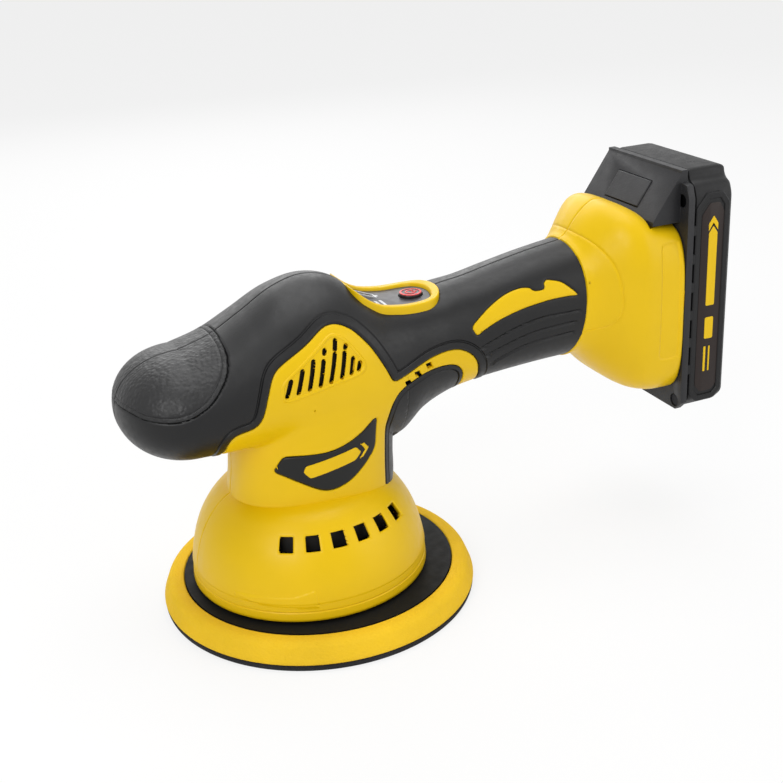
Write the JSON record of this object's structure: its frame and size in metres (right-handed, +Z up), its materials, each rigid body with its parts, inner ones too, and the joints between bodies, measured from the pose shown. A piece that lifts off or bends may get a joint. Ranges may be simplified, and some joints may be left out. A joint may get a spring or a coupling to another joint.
{
  "type": "cordless polisher",
  "caption": "Cordless dual-action polisher with a hook-and-loop pad under a round bell, an upright motor head, a rear handle and a slide-on battery.",
  "frame": {"origin": "where the output spindle's axis meets the pad's hook face (the pad's own centre sits 4 mm behind it at rest)", "axes": "+Z up the spindle, +X back along the handle to the battery, +Y the tool's right side; y = 0 is the housing's parting plane"},
  "size_m": [0.2935, 0.15, 0.1845],
  "materials": {
    "yellow_plastic": "satin moulded nylon",
    "black_rubber": "matt textured overmould",
    "badge_plastic": "glossy",
    "dark_plastic": "fine spark texture",
    "panel_film": "glossy membrane",
    "red_plastic": "satin",
    "circuit_board": "lacquered",
    "aluminium_part": "die cast",
    "steel_part": "ground",
    "lamination_steel": "stacked sheet",
    "copper_winding": "enamelled wire",
    "magnet": "matt",
    "lead_insulation": "satin",
    "contact_metal": "plated",
    "pad_plastic": "fine texture",
    "pad_foam": "closed-cell foam",
    "hook_fabric": "hook tape",
    "battery_plastic": "fine spark texture",
    "label_film": "satin film",
    "cell_wrap": "shrink wrap"
  },
  "bodies": {
    "housing": {"housing_left": "yellow_plastic", "housing_right": "yellow_plastic", "overmould_left": "black_rubber", "overmould_right": "black_rubber", "nose_grip_left": "black_rubber", "nose_grip_right": "black_rubber", "throat_trim_left": "black_rubber", "throat_trim_right": "black_rubber", "badge_left": "badge_plastic", "badge_right": "badge_plastic", "control_bezel": "dark_plastic", "power_switch": "dark_plastic", "terminal_block": "dark_plastic", "motor_end_bracket": "dark_plastic", "control_panel": "panel_film", "control_board": "circuit_board", "sensor_board": "circuit_board", "motor_controller": "aluminium_part", "motor_frame": "aluminium_part", "bearing_plate": "aluminium_part", "lower_bearing": "steel_part", "upper_bearing": "steel_part", "housing_screws": "steel_part", "motor_screws": "steel_part", "stator_core": "lamination_steel", "stator_coils": "copper_winding", "motor_leads": "lead_insulation", "battery_leads": "lead_insulation", "terminal_blades": "contact_metal"},
    "rotor": {"motor_shaft": "steel_part", "rotor_core": "lamination_steel", "rotor_magnet": "magnet", "cooling_fan": "dark_plastic", "eccentric_hub": "aluminium_part", "hub_grub_screw": "steel_part", "counterweight": "steel_part", "pad_bearing": "steel_part"},
    "pad": {"pad_spindle": "steel_part", "spindle_clip": "steel_part", "pad_washer": "black_rubber", "pad_stud": "steel_part", "backing_plate": "pad_plastic", "pad_foam": "pad_foam", "hook_face": "hook_fabric"},
    "power_button": {"power_button": "red_plastic"},
    "battery": {"battery_front_housing": "battery_plastic", "battery_rear_case": "battery_plastic", "battery_top_pad": "black_rubber", "battery_label_left": "label_film", "battery_label_right": "label_film", "battery_cells": "cell_wrap", "cell_straps": "contact_metal", "battery_board": "circuit_board", "pack_terminals": "contact_metal", "battery_screws": "steel_part", "latch_spring": "steel_part"},
    "release": {"release_button": "battery_plastic", "latch_hook": "dark_plastic"}
  },
  "joints": [
    {"name": "spindle_spin", "type": "hinge", "parent": "housing", "child": "rotor", "pos_m": [0, 0, 0.08], "axis": [0, 0, 1], "continuous": true},
    {"name": "pad_spin", "type": "hinge", "parent": "rotor", "child": "pad", "pos_m": [0.004, 0, 0.024], "axis": [0, 0, 1], "continuous": true},
    {"name": "power_button_press", "type": "slide", "parent": "housing", "child": "power_button", "axis": [-0.0953, 0, -0.9954], "range_m": [0, 0.0008], "stiffness_N_per_m": 1500},
    {"name": "battery_slide", "type": "slide", "parent": "housing", "child": "battery", "axis": [0, 0, 1], "range_m": [0, 0.08]},
    {"name": "battery_release_press", "type": "slide", "parent": "battery", "child": "release", "axis": [0.815, 0, -0.5795], "range_m": [0, 0.0025], "stiffness_N_per_m": 800}
  ]
}
